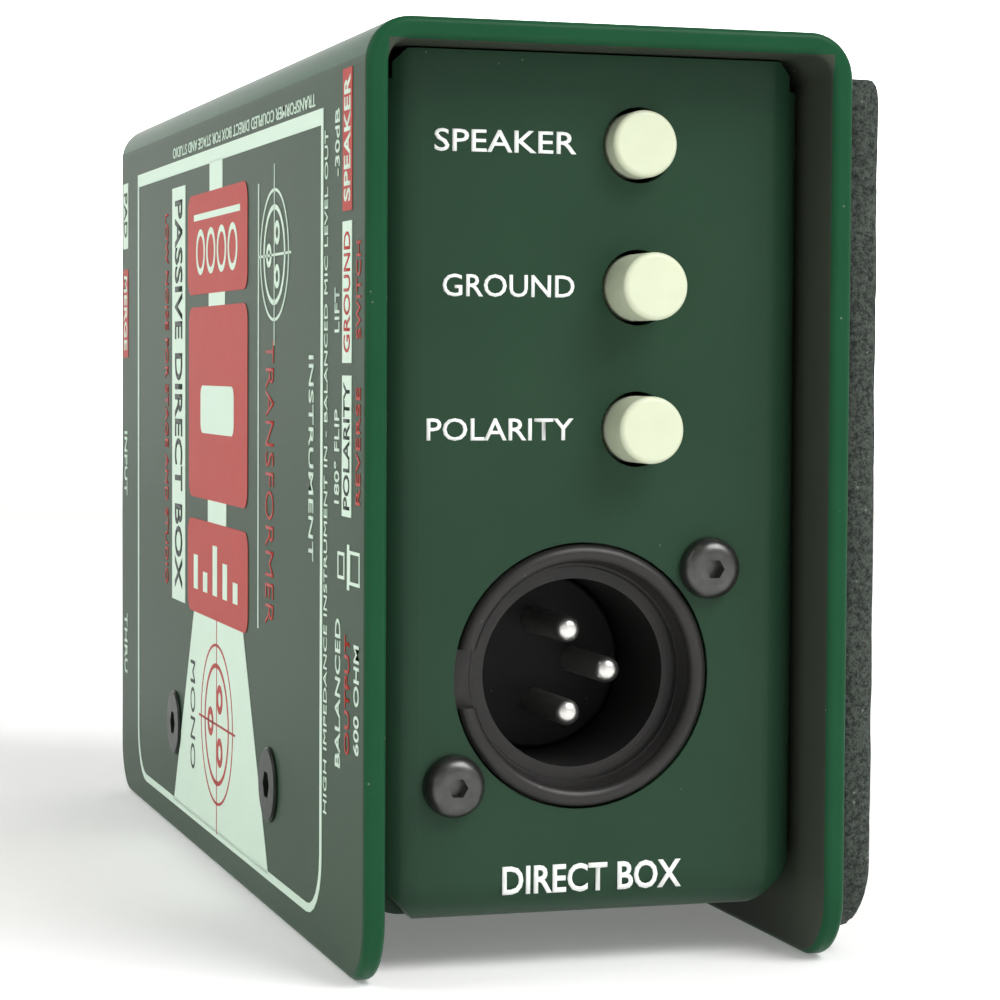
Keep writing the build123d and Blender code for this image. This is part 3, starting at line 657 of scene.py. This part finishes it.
# %% Finishes for the inks
def ink(name, dark, light, sheen):
    """Screen ink: a close pair of tones, with the mesh's fine grain in colour and relief."""
    print_ink = Finish(name, IOR=1.48, Specular_IOR_Level=0.15)
    weave = print_ink.grain(0.28, 3.0)
    wash = print_ink.grain(6.0, 2.0)
    return print_ink.use(
        Base_Color=print_ink.blend(weave * 0.6 + wash * 0.4, dark, light),
        Roughness=sheen + weave * 0.15,
        Normal=print_ink.relief(weave, 0.012, 0.4),
    )


pale_ink = ink("ink_pale", paint_code(196, 218, 200), paint_code(212, 234, 216), 0.4)
white_ink = ink("ink_white", paint_code(240, 244, 240), paint_code(252, 254, 252), 0.4)
red_ink = ink("ink_red", paint_code(160, 48, 40), paint_code(184, 60, 52), 0.4)
dark_ink = ink("ink_dark", paint_code(28, 44, 34), paint_code(38, 56, 44), 0.4)
ink_depth = 0.05 * MM
layer_step = 0.6 * ink_depth

# %% [markdown]
# Shapes on the graphics side are drawn where they belong: the plane is turned to face left, then its
# corners are rounded or its middle taken out. Distances run back from the cover's front edge and up
# from the floor.

# %% Flat shapes on the graphics side
side_turn = Matrix.Rotation(-math.pi / 2, 4, "Y")


def side_place(back, height, layer=0):
    """A point on the graphics side, on top of this many layers of ink."""
    return graphics_face - layer * layer_step, cover_front + back * MM, height * MM


def patch(back, far, low, high, layer=0):
    """A rectangle on the graphics side, from back to far behind the front edge."""
    clear()
    place = side_place((back + far) / 2, (low + high) / 2, layer)
    bpy.ops.mesh.primitive_plane_add(size=1, location=place, rotation=(0, -math.pi / 2, 0))
    piece = bpy.context.object
    piece.scale = ((high - low) * MM, (far - back) * MM, 1)
    settle(piece)
    return piece


def round_corners(piece, radius, test=lambda point: True):
    """Rounds the corners of a flat shape that pass a test."""
    choose(piece, "VERT", test)
    bpy.ops.mesh.bevel(offset=radius * MM, affect="VERTICES", segments=6)
    close()
    return piece


def outline(piece, thickness):
    """Leaves just the rim of a flat shape."""
    choose(piece, "FACE", lambda middle, normal: True)
    bpy.ops.mesh.inset(thickness=thickness * MM)
    bpy.ops.mesh.delete(type="FACE")
    close()
    return piece


def disc(back, height, radius, layer=0):
    """A flat disc on the graphics side."""
    clear()
    bpy.ops.mesh.primitive_circle_add(
        vertices=48,
        radius=radius * MM,
        fill_type="NGON",
        location=side_place(back, height, layer),
        rotation=(0, -math.pi / 2, 0),
    )
    settle(bpy.context.object)
    return bpy.context.object


def proud(piece):
    """Gives a flat print the thickness of ink."""
    finish_with(piece, "SOLIDIFY", thickness=ink_depth, offset=1.0)
    return piece


def show(piece, material):
    """A finished print rides on the box and takes its ink."""
    piece.data.materials.clear()
    piece.data.materials.append(material)
    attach(piece, "box")
    print(piece.name, len(piece.data.polygons), "faces")


# %% The pale frame and its bars
frame_line = patch(15.8, 114.4, 3.1, 77.3)
round_corners(frame_line, 6, lambda point: point.z < 20 * MM)
outline(frame_line, 0.85)
choose(frame_line, "VERT", lambda point: 76 * MM < point.z < 76.9 * MM)
bpy.ops.transform.translate(value=(0, 0, -0.65 * MM))
close()
flare = patch(51.4, 77, 3.6, 27.6)
choose(flare, "EDGE", lambda middle, along: middle.z < 10 * MM)
bpy.ops.transform.resize(value=(1, 2.0, 1))
close()
pale_shapes = [
    frame_line,
    flare,
    patch(61.8, 68.8, 71.0, 76.0),
    patch(60.4, 69.2, 59.0, 63.4),
    patch(59.6, 69.6, 35.8, 40.2),
    round_corners(patch(55.5, 73.5, 46.6, 51.8, 2), 1.2),
    patch(82.9, 91, 27, 74.3),
    patch(43.4, 43.8, 27.7, 72.1),
    patch(5.0, 8.4, 54.3, 66.7),
    patch(5.0, 8.4, 40.8, 53.2),
    outline(patch(1.9, 5.6, 34.9, 37.9), 0.3),
    patch(5.6, 6.4, 34.4, 38.4),
    outline(patch(7.4, 9.9, 35.2, 37.6), 0.3),
    patch(121.6, 125.2, 68.6, 76.8),
]
side_pale = proud(join("side_print_pale", pale_shapes))
show(side_pale, pale_ink)

# %% The red blocks
red_shapes = [
    round_corners(patch(48.8, 81, 61.8, 72.8, 1), 1.8),
    round_corners(patch(48.7, 80.4, 39.4, 60.4, 1), 1.8),
    round_corners(patch(48.4, 81, 26.6, 37.0, 1), 1.8),
    patch(5.0, 8.4, 67.6, 80.0),
    patch(121.6, 125.2, 54.9, 66.0),
]
side_red = proud(join("side_print_red", red_shapes))
show(side_red, red_ink)

# %% [markdown]
# ## Pictograms
#
# A ring with three dots stands for the three-pin output. It is printed pale near the top and red on
# the flare below. The blocks carry simple circuit marks: two windings beside a core, a plate pair,
# and a row of bars like a level meter.

# %% Rings with three dots
def three_pin_mark(back, height, radius, line, layer):
    """A ring with three dots and crossed hair lines."""
    marks = [outline(disc(back, height, radius, layer), line)]
    marks.append(outline(disc(back, height, radius * 1.32, layer), line * 0.6))
    for turn in (0, 120, 240):
        y = back + math.cos(math.radians(turn)) * radius * 0.5
        z = height + math.sin(math.radians(turn)) * radius * 0.5
        marks.append(outline(disc(y, z, radius * 0.24, layer), radius * 0.12))
    marks.append(patch(back - 0.12, back + 0.12, height - radius * 1.8, height + radius * 1.8, layer))
    marks.append(patch(back - radius * 1.5, back + radius * 1.5, height - 0.12, height + 0.12, layer))
    return marks


show(proud(join("mark_pale_ring", three_pin_mark(36.3, 64.8, 4.9, 0.5, 0))), pale_ink)
show(proud(join("mark_red_ring", three_pin_mark(64.6, 15.4, 6.6, 0.5, 1))), red_ink)

# %% Circuit marks on the blocks
bars = []
for number in range(5):
    bars.append(patch(53.4 + number * 5.4, 55.8 + number * 5.4, 29.2, 31.4 + (number % 3) * 1.6, 2))
for number in range(4):
    bars.append(outline(disc(56.2 + number * 5.8, 66.4, 2.5, 2), 0.7))
bars.append(patch(52.4, 77.4, 69.9, 70.6, 2))
show(proud(join("mark_block_lines", bars)), pale_ink)

# %% [markdown]
# ## Lettering
#
# A word is added as text, made heavier with an offset, and turned to a mesh. It is then scaled to
# its real height and length, turned to face out of its wall and moved to its place.

# %% Set a word
def word(text, height, length, place, turn, weight=0.0):
    """A word this high and long in millimetres, centred on a place."""
    clear()
    bpy.ops.object.text_add()
    piece = bpy.context.object
    piece.data.body = text
    piece.data.offset = weight
    piece.data.resolution_u = 3
    bpy.ops.object.convert(target="MESH")
    piece = bpy.context.object
    corners = [Vector(corner) for corner in piece.bound_box]
    low, high = corners[0], corners[6]
    middle = (low + high) / 2
    size = (length * MM / (high.x - low.x), height * MM / (high.y - low.y), 1, 1)
    to_size = Matrix.Diagonal(size) @ Matrix.Translation(-middle)
    piece.matrix_world = Matrix.Translation(place) @ turn @ to_size
    settle(piece)
    return piece


def side_word(text, back, low, high, height, up=True, weight=0.0, layer=0):
    """A word on the graphics side that reads up or down between two heights."""
    place = side_place(back, (low + high) / 2, layer)
    turn = side_turn if up else side_turn @ Matrix.Rotation(math.pi, 4, "Z")
    return word(text, height, high - low, Vector(place), turn, weight)


def side_line(text, back, far, middle, height, weight=0.0):
    """A line along the graphics side whose letters stand on their heads."""
    place = side_place((back + far) / 2, middle)
    turn = side_turn @ Matrix.Rotation(math.pi / 2, 4, "Z")
    return word(text, height, far - back, Vector(place), turn, weight)


# %% Words on the graphics side
pale_words = [
    side_word("-30dB", 10.4, 70.8, 76.8, 1.7, weight=0.01),
    side_word("LIFT", 10.4, 57.0, 61.0, 1.7, weight=0.01),
    side_word("180° FLIP", 10.4, 41.8, 50.2, 1.9, weight=0.01),
    side_word("BALANCED", 9.8, 18.3, 31.6, 1.9, weight=0.015),
    side_word("600 OHM", 3.0, 20.2, 29.8, 1.9, weight=0.015),
    side_word("SPEAKER", 6.7, 68.4, 79.4, 2.3, weight=0.02, layer=1),
    side_word("INSTRUMENT", 20.4, 36, 55, 1.9, up=False, weight=0.01),
    side_word("INPUT", 123.4, 37.5, 45.6, 2.0, up=False, weight=0.015),
    side_word("THRU", 123.4, 14.9, 22.5, 2.0, up=False, weight=0.015),
    side_word("MERGE", 123.4, 55.8, 65.2, 2.2, up=False, weight=0.02, layer=1),
    side_word("HIGH IMPEDANCE INSTRUMENT IN - BALANCED MIC LEVEL OUT", 14.6, 13.4, 75.2, 1.25),
    side_line("TRANSFORMER COUPLED DIRECT BOX FOR STAGE AND STUDIO", 19, 90.6, 78.3, 1.2, 0.01),
]
show(proud(join("side_words_pale", pale_words)), pale_ink)
red_words = [
    side_word("TRANSFORMER", 38.3, 28.5, 56.5, 3.6, up=False, weight=-0.01),
    side_word("LOW NOISE FOR STAGE AND STUDIO", 94.6, 28.4, 71.6, 2.0, up=False, weight=0.01),
    side_word("OUTPUT", 6.4, 19.8, 30.4, 1.7, weight=0.01),
    side_word("GROUND", 6.7, 55.2, 65.8, 2.3, weight=0.01, layer=1),
    side_word("REVERSE", 2.6, 42.0, 52.2, 1.5),
    side_word("SWITCH", 2.6, 56.4, 64.8, 1.5),
]
show(proud(join("side_words_red", red_words)), red_ink)
dark_words = [
    side_word("PASSIVE DIRECT BOX", 86.9, 28.4, 72.8, 4.6, up=False, weight=0.02, layer=1),
    side_word("MONO", 78.1, 8.8, 21.0, 2.6, up=False, layer=1),
    side_word("POLARITY", 6.7, 41.4, 52.6, 2.3, weight=0.015, layer=1),
    side_word("PAD", 123.4, 70.0, 75.6, 2.3, up=False, weight=0.015, layer=1),
]
show(proud(join("side_words_dark", dark_words)), dark_ink)

# %% Words on the front and rear panels
front_turn = Matrix.Rotation(math.pi / 2, 4, "X")
rear_turn = Matrix.Rotation(math.pi, 4, "Z") @ front_turn


def button_height(name):
    low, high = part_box(name + "_button_cap")
    return (low.z + high.z) / 2


def panel_word(text, left, right, height, z, panel, weight):
    """A word on an end panel; left and right run from the graphics side."""
    facing = panel < 0
    place = Vector((graphics_face + (left + right) / 2 * MM, panel, z))
    return word(text, height, abs(right - left), place, front_turn if facing else rear_turn, weight)


front_words = [
    panel_word("SPEAKER", 7.4, 20.5, 2.0, button_height("speaker"), front_panel, 0.008),
    panel_word("GROUND", 8.2, 20.4, 2.0, button_height("ground"), front_panel, 0.008),
    panel_word("POLARITY", 6.8, 20.4, 2.0, button_height("polarity"), front_panel, 0.008),
    panel_word("DIRECT BOX", 14.0, 31.0, 2.6, 8.2 * MM, front_panel, 0.02),
]
show(proud(join("front_words", front_words)), white_ink)
rear_words = [
    panel_word("PAD", 13.8, 19.4, 2.0, button_height("pad"), rear_panel, 0.008),
    panel_word("MERGE", 10.0, 19.4, 2.0, button_height("merge"), rear_panel, 0.008),
    panel_word("INPUT", 17.6, 27.4, 2.0, 51.6 * MM, rear_panel, 0.008),
    panel_word("THRU", 18.4, 26.6, 2.0, 28.6 * MM, rear_panel, 0.008),
]
show(proud(join("rear_words", rear_words)), white_ink)

# %% [markdown]
# ## Camera and light
#
# A long lens stands a little to the left and just above the middle of the box. A large soft source
# hangs overhead, another is far to the left so that the printed side picks up a broad grey sheen,
# and the room is evenly pale.

# %% Place the camera
camera = bpy.data.objects.new("camera", bpy.data.cameras.new("camera"))
bpy.context.scene.collection.objects.link(camera)
camera.data.lens = 102.81
camera.data.sensor_width = 36
camera.data.clip_start = 0.01
camera.data.clip_end = 20
turn = Matrix.Rotation(math.radians(-16.93), 4, "Z") @ Matrix.Rotation(math.radians(90 - 2.686), 4, "X")
turn = turn @ Matrix.Rotation(math.radians(0.324), 4, "Z")
eye = (cover_low.x - 60.043 * MM, cover_low.y - 236.718 * MM, 54.108 * MM)
camera.matrix_world = Matrix.Translation(eye) @ turn
bpy.context.scene.camera = camera

# %% Hang the soft lights
def soft_light(name, place, aim, width, height, power, spread=180):
    """A rectangular soft source that faces a point, its beam this many degrees wide."""
    lamp = bpy.data.lights.new(name, "AREA")
    lamp.shape = "RECTANGLE"
    lamp.size = width
    lamp.size_y = height
    lamp.energy = power
    lamp.spread = math.radians(spread)
    piece = bpy.data.objects.new(name, lamp)
    bpy.context.scene.collection.objects.link(piece)
    piece.location = place
    piece.rotation_euler = (Vector(aim) - Vector(place)).to_track_quat("-Z", "Y").to_euler()


soft_light("key", (0.45, -0.65, 0.85), (0, 0, 0.04), 0.7, 0.6, 10)
soft_light("far_left", (-1.2, 0.1, 0.9), (0, 0, 0.04), 0.9, 0.9, 8)
soft_light("backdrop", (0.8, 1.1, 1.2), (0.9, 2.0, 0.15), 1.3, 0.6, 32, 112)
room = bpy.data.worlds.new("soft_room")
bpy.context.scene.world = room
room.use_nodes = True
room.node_tree.nodes["Background"].inputs["Color"].default_value = (1, 1, 1, 1)
room.node_tree.nodes["Background"].inputs["Strength"].default_value = 0.31
bpy.context.scene.view_settings.view_transform = "Standard"
